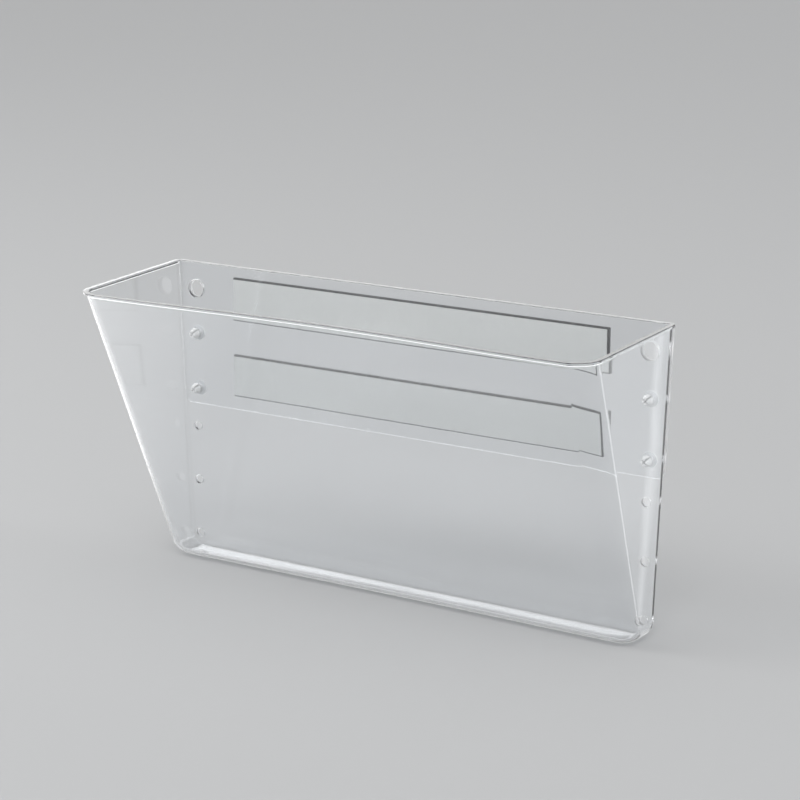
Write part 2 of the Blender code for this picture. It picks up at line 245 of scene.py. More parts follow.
class NodeMaker:
    """Adds nodes to a tree and joins them: an input is either a socket to link or a value to set."""

    def __init__(self, tree):
        self.tree = tree

    def plug(self, source, socket):
        if isinstance(source, bpy.types.NodeSocket):
            self.tree.links.new(source, socket)
        else:
            socket.default_value = source

    def add(self, kind, plugs=None, out=0, **settings):
        """One output of a new node."""
        node = self.tree.nodes.new(kind)
        for name, setting in settings.items():
            setattr(node, name, setting)
        for slot, source in (plugs or {}).items():
            self.plug(source, node.inputs[slot])
        return node.outputs[out]

    def math(self, operation, *terms):
        return self.add("ShaderNodeMath", dict(enumerate(terms)), operation=operation)

    def vector(self, operation, *terms):
        return self.add("ShaderNodeVectorMath", dict(enumerate(terms)), operation=operation)

    def scaled(self, vector, factor):
        return self.add("ShaderNodeVectorMath", {"Vector": vector, "Scale": factor}, operation="SCALE")

    def joined(self, x=0.0, y=0.0, z=0.0):
        return self.add("ShaderNodeCombineXYZ", {"X": x, "Y": y, "Z": z})

    def part(self, vector, axis):
        return self.add("ShaderNodeSeparateXYZ", {0: vector}, axis)

    def ramp(self, factor, *stops):
        """A colour that changes through several, each given with its place."""
        ramp = self.add("ShaderNodeValToRGB", {"Fac": factor})
        elements = ramp.node.color_ramp.elements
        while len(elements) < len(stops):
            elements.new(1.0)
        for element, (place, colour) in zip(elements, stops):
            element.position = place
            element.color = (*colour, 1.0)
        return ramp


class ShapeMaker(NodeMaker):
    """A geometry tree with named inputs that ends in one mesh."""

    def __init__(self, name):
        super().__init__(bpy.data.node_groups.new(name, "GeometryNodeTree"))
        self.tree.interface.new_socket(name="Geometry", in_out="OUTPUT", socket_type="NodeSocketGeometry")
        self.entry = self.tree.nodes.new("NodeGroupInput")

    def input(self, name, kind, default=None):
        socket = self.tree.interface.new_socket(name=name, in_out="INPUT", socket_type="NodeSocket" + kind)
        if default is not None:
            socket.default_value = default
        return self.entry.outputs[name]

    def object_points(self, name):
        """An input that takes an object: its geometry, and how many points it has."""
        geometry = self.add("GeometryNodeObjectInfo", {"Object": self.input(name, "Object")}, "Geometry")
        return geometry, self.add("GeometryNodeAttributeDomainSize", {"Geometry": geometry}, "Point Count")

    def named(self, name, kind="FLOAT"):
        return self.add("GeometryNodeInputNamedAttribute", {"Name": name}, data_type=kind)

    def reader(self, geometry, index):
        """A function that reads a named value of a geometry's point at that index."""
        def read(name, kind="FLOAT"):
            plugs = {"Geometry": geometry, "Value": self.named(name, kind), "Index": index}
            return self.add("GeometryNodeSampleIndex", plugs, data_type=kind)
        return read

    def grid(self, columns, rows):
        """A grid of faces with one column more than there are points round it, and each point's column
        and row."""
        around = self.math("ADD", columns, 1)
        mesh = self.add("GeometryNodeMeshGrid", {"Vertices X": around, "Vertices Y": rows}, "Mesh")
        index = self.add("GeometryNodeInputIndex")
        column = self.math("MODULO", self.math("FLOOR", self.math("DIVIDE", index, rows)), columns)
        return mesh, column, self.math("MODULO", index, rows)

    def place(self, mesh, position):
        return self.add("GeometryNodeSetPosition", {"Geometry": mesh, "Position": position})

    def closed(self, mesh):
        return self.add("GeometryNodeMergeByDistance", {"Geometry": mesh, "Distance": MERGE_DISTANCE})

    def finish(self, geometry, material):
        """The whole tree, closed with the geometry as one real mesh in its material."""
        real = self.add("GeometryNodeRealizeInstances", {"Geometry": geometry})
        done = self.add("GeometryNodeSetMaterial", {"Geometry": real, "Material": material})
        self.tree.links.new(done, self.tree.nodes.new("NodeGroupOutput").inputs[0])
        return self.tree


def add_object(name, data):
    piece = bpy.data.objects.new(name, data)
    bpy.context.scene.collection.objects.link(piece)
    return piece


def remove(*objects):
    for item in objects:
        bpy.data.objects.remove(item, do_unlink=True)


def points_object(name, points, **values):
    """Loose points that carry named numbers or vectors, for a geometry tree to read."""
    mesh = bpy.data.meshes.new(name)
    mesh.from_pydata(points, [], [])
    for key, numbers in values.items():
        vectors = hasattr(numbers[0], "__len__")
        attribute = mesh.attributes.new(key, "FLOAT_VECTOR" if vectors else "FLOAT", "POINT")
        flat = [part for number in numbers for part in number] if vectors else numbers
        attribute.data.foreach_set("vector" if vectors else "value", flat)
    return add_object(name, mesh)


def profile_object(name, profile):
    """Half section of a turned shape: the radius and the height of each corner."""
    radii, heights = zip(*profile)
    return points_object(name, [(0.0, 0.0, 0.0)] * len(profile), radius=radii, height=heights)


def close_ends(mesh, shift=(0.0, 0.0, 0.0)):
    """Fill the open ends of a mesh, turn its faces outwards and move it to its place."""
    shape = bmesh.new()
    shape.from_mesh(mesh)
    bmesh.ops.holes_fill(shape, edges=shape.edges, sides=0)
    bmesh.ops.recalc_face_normals(shape, faces=shape.faces)
    bmesh.ops.translate(shape, verts=shape.verts, vec=shift)
    shape.to_mesh(mesh)
    shape.free()


def evaluated(piece, name):
    """A plain mesh of the object with its modifiers done."""
    bpy.context.view_layer.update()
    graph = bpy.context.evaluated_depsgraph_get()
    mesh = bpy.data.meshes.new_from_object(piece.evaluated_get(graph), depsgraph=graph)
    mesh.name = name
    return mesh


def grown(name, tree, values):
    """The plain mesh that a geometry tree makes from its named inputs."""
    carrier = add_object(name, bpy.data.meshes.new(name))
    modifier = carrier.modifiers.new(name, "NODES")
    modifier.node_group = tree
    for item in tree.interface.items_tree:
        if item.in_out == "INPUT":
            modifier[item.identifier] = values[item.name]
    mesh = evaluated(carrier, name)
    mesh.materials.clear()
    mesh.materials.append(values["Plastic"])
    remove(carrier)
    return mesh


def modified(mesh, *steps):
    """The mesh after some modifiers, each given as its kind and its settings."""
    carrier = add_object(mesh.name, mesh)
    for kind, settings in steps:
        modifier = carrier.modifiers.new(kind, kind)
        for key, setting in settings.items():
            setattr(modifier, key, setting)
    result = evaluated(carrier, mesh.name)
    remove(carrier)
    return result


def smooth(mesh, sharp_angle):
    mesh.shade_smooth()
    mesh.set_sharp_from_angle(angle=sharp_angle)


def weighted(mesh):
    """Smooth shading in which broad flat faces keep their own normals."""
    smooth(mesh, SHARP_ANGLE)
    return modified(mesh, ("WEIGHTED_NORMAL", {"keep_sharp": True, "weight": FLAT_WEIGHT}))


def keep_piece(name, mesh, slot, *nodes):
    """The finished piece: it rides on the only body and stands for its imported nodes."""
    piece = add_object(name, mesh)
    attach(piece, "root")
    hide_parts(*nodes)


def quarter_turns(steps):
    """Angles from nothing to a quarter turn."""
    return [math.pi / 2 * step / steps for step in range(steps + 1)]


def arc(centre, radius, start, end, steps):
    """Points on an arc between two angles in quarter turns, each with its direction from the centre."""
    points = []
    for step in range(steps + 1):
        turn = math.pi / 2 * (start + (end - start) * step / steps)
        along = Vector((math.cos(turn), math.sin(turn), 0.0))
        points.append((Vector(centre).to_3d() + along * radius, along))
    return points


def rim_depth(sizes):
    """Outside depth of the walls at the rim, without the lip."""
    return SHELL_HIGH.y - SHELL_LOW.y - sizes.lip_width


def shell_columns(sizes, inner, at_rim):
    """Plan outline of the walls at the floor or the rim, as rows of point, way out and normal: from the
    middle of the back round the right side, the bowed front and the left side."""
    rim_half = (SHELL_HIGH.x - SHELL_LOW.x) / 2 - sizes.lip_width
    rise = float(at_rim)
    front_rise = rise * SHELL_TALL / (SHELL_TALL - sizes.front_drop)
    inset = sizes.wall if inner else 0.0
    rear_radius = sizes.inner_rear_corner if inner else sizes.rear_corner
    rear = -inset
    half = rim_half - sizes.side_lean * (1 - rise)
    depth = sizes.floor_depth + (rim_depth(sizes) - sizes.floor_depth) * front_rise
    radius = sizes.floor_corner + (sizes.rim_corner - sizes.floor_corner) * front_rise
    bow = sizes.floor_bow + (sizes.rim_bow - sizes.floor_bow) * front_rise
    straight, side = half - radius, Vector((1.0, 0.0, 0.0))
    flank = half - inset
    right = [(Vector((flank - rear_radius - HOLD, rear, 0.0)), side, Vector((0.0, 1.0, 0.0)))]
    for point, along in arc((flank - rear_radius, rear - rear_radius), rear_radius, 1, 0, REAR_CORNER_STEPS):
        right.append((point, side, along))
    for y in (rear - rear_radius - HOLD, radius - depth + HOLD):
        right.append((Vector((flank, y, 0.0)), side, side))
    for point, along in arc((straight, radius - depth), radius - inset, 0, -1, CORNER_STEPS):
        right.append((point, along, along))
    front = []
    ahead = Vector((0.0, -1.0, 0.0))
    for step in range(1, FRONT_STEPS):
        across = 1 - 2 * step / FRONT_STEPS
        bowed = inset - depth + bow * (1 - across ** 2) ** 2
        front.append((Vector((straight * across, bowed, 0.0)), ahead, ahead))
    mirror = Matrix.Diagonal((-1.0, 1.0, 1.0))
    left = [tuple(mirror @ part for part in column) for column in reversed(right)]
    return right + front + left


def shell_rows(sizes):
    """Profile of the walls from the floor's outside over the rim to the floor's inside. A row has its height,
    its way out, how far it lies below the rim, two nudges along the normal, and which outline it uses."""
    rows = []
    plain = dict.fromkeys(("height", "out", "below", "nudge", "rear_nudge", "rim", "inner"), 0.0)

    def row(**values):
        rows.append({**plain, **values})

    def edge_at(rise):
        """How far the rounded rear edge of the floor draws in at that height."""
        reach = max(sizes.edge - rise, 0.0)
        return math.sqrt(sizes.edge ** 2 - reach ** 2) - sizes.edge

    def fillet(radius, base, inner, turns):
        for turn in turns:
            rise, drawn_in = radius * (1 - math.cos(turn)), radius * (1 - math.sin(turn))
            row(height=base + rise, out=-drawn_in, rear_nudge=edge_at(rise), inner=inner)

    fillet_turns, edge_turns = quarter_turns(FILLET_STEPS), quarter_turns(EDGE_STEPS)
    row(out=-sizes.fillet - HOLD, rear_nudge=-sizes.edge - HOLD)
    fillet(sizes.fillet, 0.0, 0.0, fillet_turns)
    row(height=sizes.fillet + HOLD)
    foot = sizes.lip_height + sizes.lip_width
    row(below=foot + HOLD, rim=1.0)
    for turn in quarter_turns(COVE_STEPS):
        row(out=sizes.lip_width * (1 - math.cos(turn)), rim=1.0,
            below=foot - sizes.lip_width * math.sin(turn))
    for turn in edge_turns:
        row(out=sizes.lip_width, below=sizes.edge * (1 - math.sin(turn)), rim=1.0,
            nudge=-sizes.edge * (1 - math.cos(turn)))
    row(out=sizes.lip_width, nudge=-sizes.edge - HOLD, rim=1.0)
    row(nudge=sizes.edge + HOLD, rim=1.0, inner=1.0)
    for turn in edge_turns:
        row(nudge=sizes.edge * (1 - math.sin(turn)), below=sizes.edge * (1 - math.cos(turn)), rim=1.0,
            inner=1.0)
    row(below=sizes.edge + HOLD, rim=1.0, inner=1.0)
    row(height=sizes.fillet + HOLD, inner=1.0)
    inner_radius = sizes.fillet - sizes.wall
    fillet(inner_radius, sizes.wall, 1.0, reversed(fillet_turns))
    row(height=sizes.wall, out=-inner_radius - HOLD, rear_nudge=-sizes.edge - HOLD, inner=1.0)
    return rows


def loft_tree():
    """Geometry tree of the shell: every point slides up its own straight line between the floor's outline and
    the rim's, to its row's height or to the sloping plane of the rim."""
    shape = ShapeMaker("lofted shell")
    columns, column_count = shape.object_points("Outline")
    rows, row_count = shape.object_points("Profile")
    tall = shape.input("Back Height", "Float", 0.1)
    slope = shape.input("Rim Slope", "Float", 0.0)
    material = shape.input("Plastic", "Material")
    mesh, column, row = shape.grid(column_count, row_count)
    at_column, at_row = shape.reader(columns, column), shape.reader(rows, row)
    inner = at_row("inner")

    def line_end(level):
        """The column's point at the floor or the rim, on the outline that the row uses."""
        outer_point, inner_point = (at_column(f"{wall}_{level}", "FLOAT_VECTOR")
                                    for wall in ("outer", "inner"))
        change = shape.scaled(shape.vector("SUBTRACT", inner_point, outer_point), inner)
        return shape.vector("ADD", outer_point, change)

    rear_nudge = shape.math("MULTIPLY", at_row("rear_nudge"), at_column("rear"))
    nudge = shape.math("ADD", at_row("nudge"), rear_nudge)
    out = shape.scaled(at_column("way_out", "FLOAT_VECTOR"), at_row("out"))
    shift = shape.vector("ADD", out, shape.scaled(at_column("normal", "FLOAT_VECTOR"), nudge))
    low, high = (shape.vector("ADD", line_end(level), shift) for level in ("floor", "rim"))
    along = shape.vector("SUBTRACT", high, low)
    low_y, along_y = (shape.part(end, "Y") for end in (low, along))
    reach = shape.math("SUBTRACT", shape.math("MULTIPLY_ADD", slope, low_y, tall), at_row("below"))
    run = shape.math("SUBTRACT", tall, shape.math("MULTIPLY", slope, along_y))
    level_share = shape.math("DIVIDE", at_row("height"), tall)
    rim_share = shape.math("DIVIDE", reach, run)
    difference = shape.math("SUBTRACT", rim_share, level_share)
    used = shape.math("MULTIPLY_ADD", at_row("rim"), difference, level_share)
    lofted = shape.place(mesh, shape.vector("ADD", low, shape.scaled(along, used)))
    return shape.finish(shape.closed(lofted), material)


def shell_mesh(sizes, material):
    """The closed shell without its holes, in its place."""
    values = {}
    for wall, inner in (("outer", False), ("inner", True)):
        for level, at_rim in (("floor", False), ("rim", True)):
            lift = Vector((0.0, 0.0, SHELL_TALL * at_rim))
            columns = shell_columns(sizes, inner, at_rim)
            values[f"{wall}_{level}"] = [point + lift for point, _, _ in columns]
    values["way_out"] = [way for _, way, _ in columns]
    values["normal"] = [normal for _, _, normal in columns]
    values["rear"] = [float(normal.y > 0) for normal in values["normal"]]
    outline = points_object("shell_outline", values["outer_floor"], **values)
    rows = shell_rows(sizes)
    profile = points_object("shell_profile", [(row["out"], 0.0, row["height"]) for row in rows],
                            **{key: [row[key] for row in rows] for key in rows[0]})
    mesh = grown("pocket_shell", loft_tree(), {
        "Outline": outline, "Profile": profile, "Back Height": SHELL_TALL,
        "Rim Slope": sizes.front_drop / rim_depth(sizes), "Plastic": material})
    remove(outline, profile)
    close_ends(mesh, (0.0, SHELL_HIGH.y, SHELL_LOW.z))
    return mesh


def turned_tree(name):
    """Start of a geometry tree that turns a profile round +Z: returns the tree, the turned mesh and the
    reader of the profile's values."""
    shape = ShapeMaker(name)
    rows, row_count = shape.object_points("Profile")
    sides = shape.input("Sides", "Int", 32)
    mesh, column, row = shape.grid(sides, row_count)
    at_row = shape.reader(rows, row)
    turn = shape.math("MULTIPLY", shape.math("DIVIDE", column, sides), math.tau)
    around = shape.joined(shape.math("COSINE", turn), shape.math("SINE", turn))
    return shape, mesh, around, at_row


def drill_tree():
    """Geometry tree of the drills: one flared cylinder along Y at each place, to the place's own radius."""
    shape, mesh, around, at_row = turned_tree("drills")
    points, _ = shape.object_points("Places")
    material = shape.input("Plastic", "Material")
    for key, kind, value in (("around", "FLOAT_VECTOR", around), ("flare", "FLOAT", at_row("radius")),
                             ("depth", "FLOAT", at_row("height"))):
        mesh = shape.add("GeometryNodeStoreNamedAttribute", {"Geometry": mesh, "Name": key, "Value": value},
                         data_type=kind, domain="POINT")
    drills = shape.add("GeometryNodeInstanceOnPoints", {"Points": points, "Instance": mesh})
    real = shape.add("GeometryNodeRealizeInstances", {"Geometry": drills})
    reach = shape.math("ADD", shape.named("hole_radius"), shape.named("flare"))
    ring = shape.scaled(shape.named("around", "FLOAT_VECTOR"), reach)
    offset = shape.joined(shape.part(ring, "X"), shape.named("depth"), shape.part(ring, "Y"))
    placed = shape.place(real, shape.vector("ADD", shape.named("place", "FLOAT_VECTOR"), offset))
    return shape.finish(shape.closed(placed), material)


def hole_places(sizes, shell_wall, in_plate):
    """Middle and radius of every hole of the shell's back wall or of the plate."""
    small, hanging = sizes.small / 2, sizes.hanging / 2
    rows = [(RIVET_PLACE.z, small), (RIVET_PLACE.z - RIVET_PITCH, small),
            (SHELL_HIGH.z - sizes.below_rim, hanging)]
    if in_plate:
        y = (PLATE_LOW.y + PLATE_HIGH.y) / 2
    else:
        y = SHELL_HIGH.y - shell_wall / 2
        lowest = SHELL_LOW.z + sizes.above_floor
        rows += [(lowest + RIVET_PITCH * row, small) for row in range(LINK_HOLES)]
    return [(Vector((side * RIVET_PLACE.x, y, z)), radius) for side in (-1, 1) for z, radius in rows]


def drilled(mesh, places, thickness, edge):
    """The mesh with a round-edged hole at each place, through a wall of that thickness."""
    half, profile = thickness / 2, [(0.0, 0.0)]
    for turn in quarter_turns(EDGE_STEPS):
        profile.append((edge * (1 - math.cos(turn)), half - edge * (1 - math.sin(turn))))
    profile.append((edge, half + edge))
    profile = [(radius, -height) for radius, height in reversed(profile)] + profile[1:]
    rows = profile_object("drill_profile", profile)
    middles, radii = zip(*places)
    spots = points_object("hole_places", middles, place=middles, hole_radius=radii)
    drills = grown("drills", drill_tree(), {"Profile": rows, "Sides": ROUND_SIDES, "Places": spots,
                                            "Plastic": mesh.materials[0]})
    remove(rows, spots)
    close_ends(drills)
    cutter = add_object("drills", drills)
    result = modified(mesh, ("BOOLEAN", {"operation": "DIFFERENCE", "solver": "EXACT", "object": cutter}))
    remove(cutter)
    return result


def rivet_profile(sizes):
    """Half section of a snap rivet, head down: radius and height from the head's middle to the tip's."""
    land_high = RIVET_LENGTH - sizes.tip_length
    land_low = land_high - sizes.barb_land
    head, shank, barb = sizes.head / 2, sizes.shank / 2, sizes.barb / 2
    corners = [Vector(corner) for corner in (
        (0.0, 0.0), (head, 0.0), (head, sizes.head_thickness), (shank, sizes.head_thickness),
        (shank, land_low), (barb, land_low), (barb, land_high),
        (sizes.tip / 2, RIVET_LENGTH), (0.0, RIVET_LENGTH))]
    profile = [corners[0]]
    for before, corner, after in zip(corners, corners[1:], corners[2:]):
        back, ahead = (before - corner).normalized(), (after - corner).normalized()
        start, end = corner + back * sizes.edge, corner + ahead * sizes.edge
        for step in range(EDGE_STEPS + 1):
            t = step / EDGE_STEPS
            profile.append(start * (1 - t) ** 2 + corner * 2 * t * (1 - t) + end * t ** 2)
    return profile + [corners[-1]]


def rivet_tree():
    """Geometry tree of the snap rivets: a turned rivet, split by two crossed slots, at each place."""
    shape, mesh, around, at_row = turned_tree("snap rivets")
    points, _ = shape.object_points("Places")
    slot_width = shape.input("Slot Width", "Float", 0.001)
    slot_start = shape.input("Slot Start", "Float", 0.002)
    slot_reach = shape.input("Slot Reach", "Float", 0.01)
    turn = shape.input("Turn", "Rotation")
    material = shape.input("Plastic", "Material")
    lift = shape.joined(z=at_row("height"))
    surface = shape.vector("ADD", shape.scaled(around, at_row("radius")), lift)
    turned = shape.closed(shape.place(mesh, surface))
    middle = shape.math("ADD", slot_start, shape.math("DIVIDE", slot_reach, 2))
    raised = shape.joined(z=middle)
    for across, along in ((slot_width, slot_reach), (slot_reach, slot_width)):
        box = shape.add("GeometryNodeMeshCube", {"Size": shape.joined(across, along, slot_reach)}, "Mesh")
        slot = shape.add("GeometryNodeTransform", {"Geometry": box, "Translation": raised})
        turned = shape.add("GeometryNodeMeshBoolean", {"Mesh 1": turned, "Mesh 2": slot},
                           operation="DIFFERENCE", solver="EXACT")
    rivets = shape.add("GeometryNodeInstanceOnPoints",
                       {"Points": points, "Instance": turned, "Rotation": turn})
    return shape.finish(rivets, material)


def rivets_mesh(sizes, material):
    """The four rivets in their places, head outwards."""
    rows = profile_object("rivet_profile", rivet_profile(sizes))
    places = points_object("rivet_places", [(side * RIVET_PLACE.x, RIVET_HIGH.y, RIVET_PLACE.z - drop)
                                            for side in (-1, 1) for drop in (0.0, RIVET_PITCH)])
    mesh = grown("push_rivets", rivet_tree(), {
        "Profile": rows, "Sides": ROUND_SIDES, "Places": places, "Slot Width": sizes.slot,
        "Slot Start": sizes.head_thickness + sizes.slot_floor, "Slot Reach": RIVET_LENGTH,
        "Turn": RIVET_TURN, "Plastic": material})
    remove(rows, places)
    smooth(mesh, RIVET_SHARP_ANGLE)
    return mesh


def plate_mesh(sizes, lean, material):
    """The flat plate with its two sizes of rounded corner and softened edges, without holes."""
    top = PLATE_HIGH.x
    bottom = top - lean * (PLATE_HIGH.z - PLATE_LOW.z) / SHELL_TALL
    lower, upper = sizes.lower_corner, sizes.upper_corner
    right = arc((bottom - lower, PLATE_LOW.z + lower), lower, -1, 0, PLATE_CORNER_STEPS)
    right += arc((top - upper, PLATE_HIGH.z - upper), upper, 0, 1, PLATE_CORNER_STEPS)
    outline = [(point.x, point.y) for point, _ in right]
    outline += [(-x, z) for x, z in reversed(outline)]
    shape = bmesh.new()
    face = shape.faces.new([shape.verts.new((x, PLATE_LOW.y, z)) for x, z in outline])
    front = bmesh.ops.extrude_face_region(shape, geom=[face])
    moved = [item for item in front["geom"] if isinstance(item, bmesh.types.BMVert)]
    bmesh.ops.translate(shape, verts=moved, vec=(0.0, PLATE_THICKNESS, 0.0))
    bmesh.ops.recalc_face_normals(shape, faces=shape.faces)
    mesh = bpy.data.meshes.new("mounting_plate")
    shape.to_mesh(mesh)
    shape.free()
    mesh.materials.append(material)
    bevel = {"width": sizes.edge, "segments": EDGE_STEPS, "limit_method": "ANGLE",
             "angle_limit": SHARP_ANGLE}
    return modified(mesh, ("BEVEL", bevel))


def edge_on(face):
    """Whether a face runs through the thickness of the wall, as in a hole or along the plate's edge."""
    return abs(face.normal.y) < CUT_SLOPE


def mark_holes(mesh, places, wall):
    """Mark the faces inside the holes, which are duller than moulded ones."""
    marks = [float(edge_on(face) and any((face.center - place).length < radius + wall
                                         for place, radius in places))
             for face in mesh.polygons]
    mesh.attributes.new("cut", "FLOAT", "FACE").data.foreach_set("value", marks)


class SurfaceMaker(NodeMaker):
    """A material with a Principled shader and patterns on the piece's own coordinates."""

    def __init__(self, name):
        self.material = bpy.data.materials.new(name)
        self.material.use_nodes = True
        super().__init__(self.material.node_tree)
        self.shader = self.tree.nodes["Principled BSDF"]
        self.coordinates = self.add("ShaderNodeTexCoord", out="Object")

    def set(self, **values):
        for name, value in values.items():
            self.plug(value, self.shader.inputs[name.replace("_", " ")])

    def noise(self, scale, detail=2.0, stretch=None, distortion=0.0):
        where = self.coordinates
        if stretch:
            where = self.add("ShaderNodeMapping", {"Vector": where, "Scale": stretch})
        return self.add("ShaderNodeTexNoise", {"Vector": where, "Scale": scale, "Detail": detail,
                                               "Distortion": distortion})

    def ranged(self, value, low=0.0, high=1.0, start=0.0, stop=1.0):
        return self.add("ShaderNodeMapRange", {"Value": value, "From Min": start, "From Max": stop,
                                               "To Min": low, "To Max": high})

    def mixed(self, factor, first, second):
        """A colour between two, by a factor."""
        return self.ramp(factor, (0.0, first), (1.0, second))

    def uneven(self, pattern, colour, dimmest):
        """The colour, dimmed by a pattern to a share of itself at most."""
        return self.mixed(pattern, [part * dimmest for part in colour], colour)

    def for_rays(self, chosen, other):
        """Use another shader for the rays that a socket chooses."""
        surface = self.tree.nodes["Material Output"].inputs["Surface"]
        both = self.add("ShaderNodeMixShader", {0: chosen, 1: surface.links[0].from_socket, 2: other})
        self.tree.links.new(both, surface)

    def let_light_through(self, colour):
        """Lamps and pale surroundings light what is behind the piece, unbent and less where they graze it."""
        facing = self.add("ShaderNodeLayerWeight", {"Blend": 0.5}, "Facing")
        passed = self.mixed(self.math("POWER", facing, 6.0), colour, BLACK)
        thin = self.add("ShaderNodeBsdfTransparent", {"Color": passed})
        path = self.add("ShaderNodeLightPath").node
        for kind in ("Is Diffuse Ray", "Is Shadow Ray"):
            self.for_rays(path.outputs[kind], thin)

    def painted_reflection(self, left, middle, right, near, far, beams):
        """Polished surfaces mirror the piece in a light of its own, which changes between near and far on
        both sides and has beams in it. This is a painted reflection: an emission that only glossy reflection
        rays see, which lights nothing and paints highlights on polished surfaces."""
        side = self.part(self.coordinates, "X")
        start = (1 - near / far) / 2
        colour = self.ramp(self.ranged(side, start=-far, stop=far),
                           (0.0, left), (start, middle), (1.0 - start, middle), (1.0, right))
        strength = 1.0
        for beam in beams:
            strength = self.math("ADD", self.beam(*beam), strength)
        path = self.add("ShaderNodeLightPath").node
        # Painted reflection: the emission counts only for rays mirrored off glossy surfaces.
        mirrored = self.math("MULTIPLY", path.outputs["Is Glossy Ray"], path.outputs["Is Reflection Ray"])
        self.for_rays(mirrored, self.add("ShaderNodeEmission", {"Color": colour, "Strength": strength}))

    def beam(self, foot, turn, width, spread, strength):
        """Strength of a soft painted beam that runs over the floor from its foot, seen only in the floor's
        painted reflection. The width is half of it there, and the spread is how much that grows with each
        metre."""
        offset = self.vector("SUBTRACT", self.coordinates, foot)
        along, across = (self.add("ShaderNodeVectorMath", {0: offset, 1: (math.cos(way), math.sin(way), 0.0)},
                                  "Value", operation="DOT_PRODUCT") for way in (turn, turn + math.pi / 2))
        reach = self.math("MULTIPLY_ADD", along, spread, width)
        aside = self.math("DIVIDE", self.math("ABSOLUTE", across), reach)
        started = self.math("GREATER_THAN", along, 0.0)
        return self.math("MULTIPLY", self.ranged(aside, strength, 0.0), started)

    def bump(self, height, strength, distance, under=None):
        plugs = {"Height": height, "Strength": strength, "Distance": distance}
        if under is not None:
            plugs["Normal"] = under
        return self.add("ShaderNodeBump", plugs)


def clear_plastic(name, finish, density):
    """Polished clear plastic: long moulding waves, faint scuffs and a little dust, duller where it is marked
    as cut. A wall with some density is darker along its edges, and then no face may wear another material."""
    surface = SurfaceMaker(name)
    waves = surface.noise(9.0, detail=1.0)
    ripple = surface.noise(55.0, stretch=(1.0, 1.0, 0.35))
    scratches = surface.noise(420.0, stretch=(1.0, 1.0, 0.05), distortion=0.6)
    scuffs = surface.ranged(scratches, start=0.68, stop=0.78)
    dust = surface.ranged(surface.noise(32.0, detail=5.0), high=0.012, start=0.45, stop=0.75)
    rough = surface.math("ADD", surface.math("MULTIPLY_ADD", scuffs, 0.05, finish.clear_gloss), dust)
    cut = surface.add("ShaderNodeAttribute", out="Fac", attribute_name="cut")
    rough = surface.math("MULTIPLY_ADD", cut, finish.cut_roughness, rough)
    surface.set(Base_Color=surface.uneven(surface.noise(14.0), finish.clear, 0.985), Roughness=rough,
                Transmission_Weight=1.0, IOR=PLASTIC_IOR,
                Normal=surface.bump(ripple, 0.05, distance=0.0006,
                                    under=surface.bump(waves, 0.12, distance=0.004)))
    if density:
        depth = surface.add("ShaderNodeVolumeAbsorption",
                            {"Color": (*finish.clear_depth, 1.0), "Density": density})
        surface.plug(depth, surface.tree.nodes["Material Output"].inputs["Volume"])
    surface.let_light_through(finish.clear_shadow)
    return surface.material


def cut_plastic(finish):
    """Sawn and drilled faces of the clear plate: whitish, with fine lines through its thickness."""
    surface = SurfaceMaker("cut plate plastic")
    lines = surface.noise(2400.0, stretch=(1.0, 0.05, 1.0))
    surface.set(Base_Color=surface.uneven(lines, finish.clear, 0.94),
                Roughness=surface.ranged(lines, finish.cut_roughness - 0.08, finish.cut_roughness + 0.08),
                Transmission_Weight=1.0 - finish.cut_haze, IOR=PLASTIC_IOR,
                Normal=surface.bump(lines, 0.2, distance=0.0001))
    surface.let_light_through(finish.clear_shadow)
    return surface.material


def rivet_plastic(finish):
    """Milky moulded nylon with a slightly uneven skin."""
    surface = SurfaceMaker("milky rivet nylon")
    clouds = surface.noise(900.0, detail=3.0)
    surface.set(Base_Color=surface.uneven(clouds, finish.rivet, 0.9), IOR=NYLON_IOR,
                Roughness=surface.ranged(surface.noise(1500.0), 0.05, 0.15), Transmission_Weight=0.15,
                Normal=surface.bump(surface.noise(2200.0), 0.15, distance=0.0001))
    return surface.material


def magnet_rubber(finish):
    """Matt black strip magnet with drawn lines along it and a little pale dust."""
    surface = SurfaceMaker("black strip magnet")
    lines = surface.noise(900.0, detail=3.0, stretch=(0.01, 1.0, 1.0))
    grain = surface.noise(2600.0, detail=4.0)
    dust = surface.ranged(surface.noise(260.0, detail=6.0), start=0.56, stop=0.8)
    paler = [part * 2.4 + 0.01 for part in finish.magnet]
    surface.set(Base_Color=surface.mixed(surface.math("MULTIPLY", dust, lines), finish.magnet, paler),
                Roughness=surface.ranged(grain, 0.5, 0.75), Specular_IOR_Level=0.35,
                Normal=surface.bump(grain, 0.25, distance=0.00012,
                                    under=surface.bump(lines, 0.35, distance=0.00012)))
    return surface.material


def foam_tape(finish):
    """White foam tape with open cells at its surface."""
    surface = SurfaceMaker("white foam tape")
    cells = surface.add("ShaderNodeTexVoronoi", {"Vector": surface.coordinates, "Scale": 3200.0}, "Distance")
    cloud = surface.noise(500.0, detail=4.0)
    surface.set(Base_Color=surface.uneven(cloud, finish.tape, 0.86),
                Roughness=surface.ranged(cloud, 0.72, 0.9),
                Normal=surface.bump(cells, 0.4, distance=0.00015))
    return surface.material


class POCKET_OT_shell(bpy.types.Operator):
    """Build the moulded shell with its lip, its corners and the holes in its back wall"""
    bl_idname = "pocket.shell"
    bl_label = "Pocket Shell"

    def execute(self, context):
        scene = context.scene
        sizes, holes, finish = scene.shell_sizes, scene.hole_sizes, scene.pocket_finish
        mesh = shell_mesh(sizes, clear_plastic("clear shell plastic", finish, finish.clear_density))
        places = hole_places(holes, sizes.wall, False)
        mesh = drilled(mesh, places, sizes.wall, holes.edge)
        mark_holes(mesh, places, sizes.wall)
        keep_piece("clear_pocket_shell", weighted(mesh), "shell_plastic", "pocket_shell")
        return {"FINISHED"}


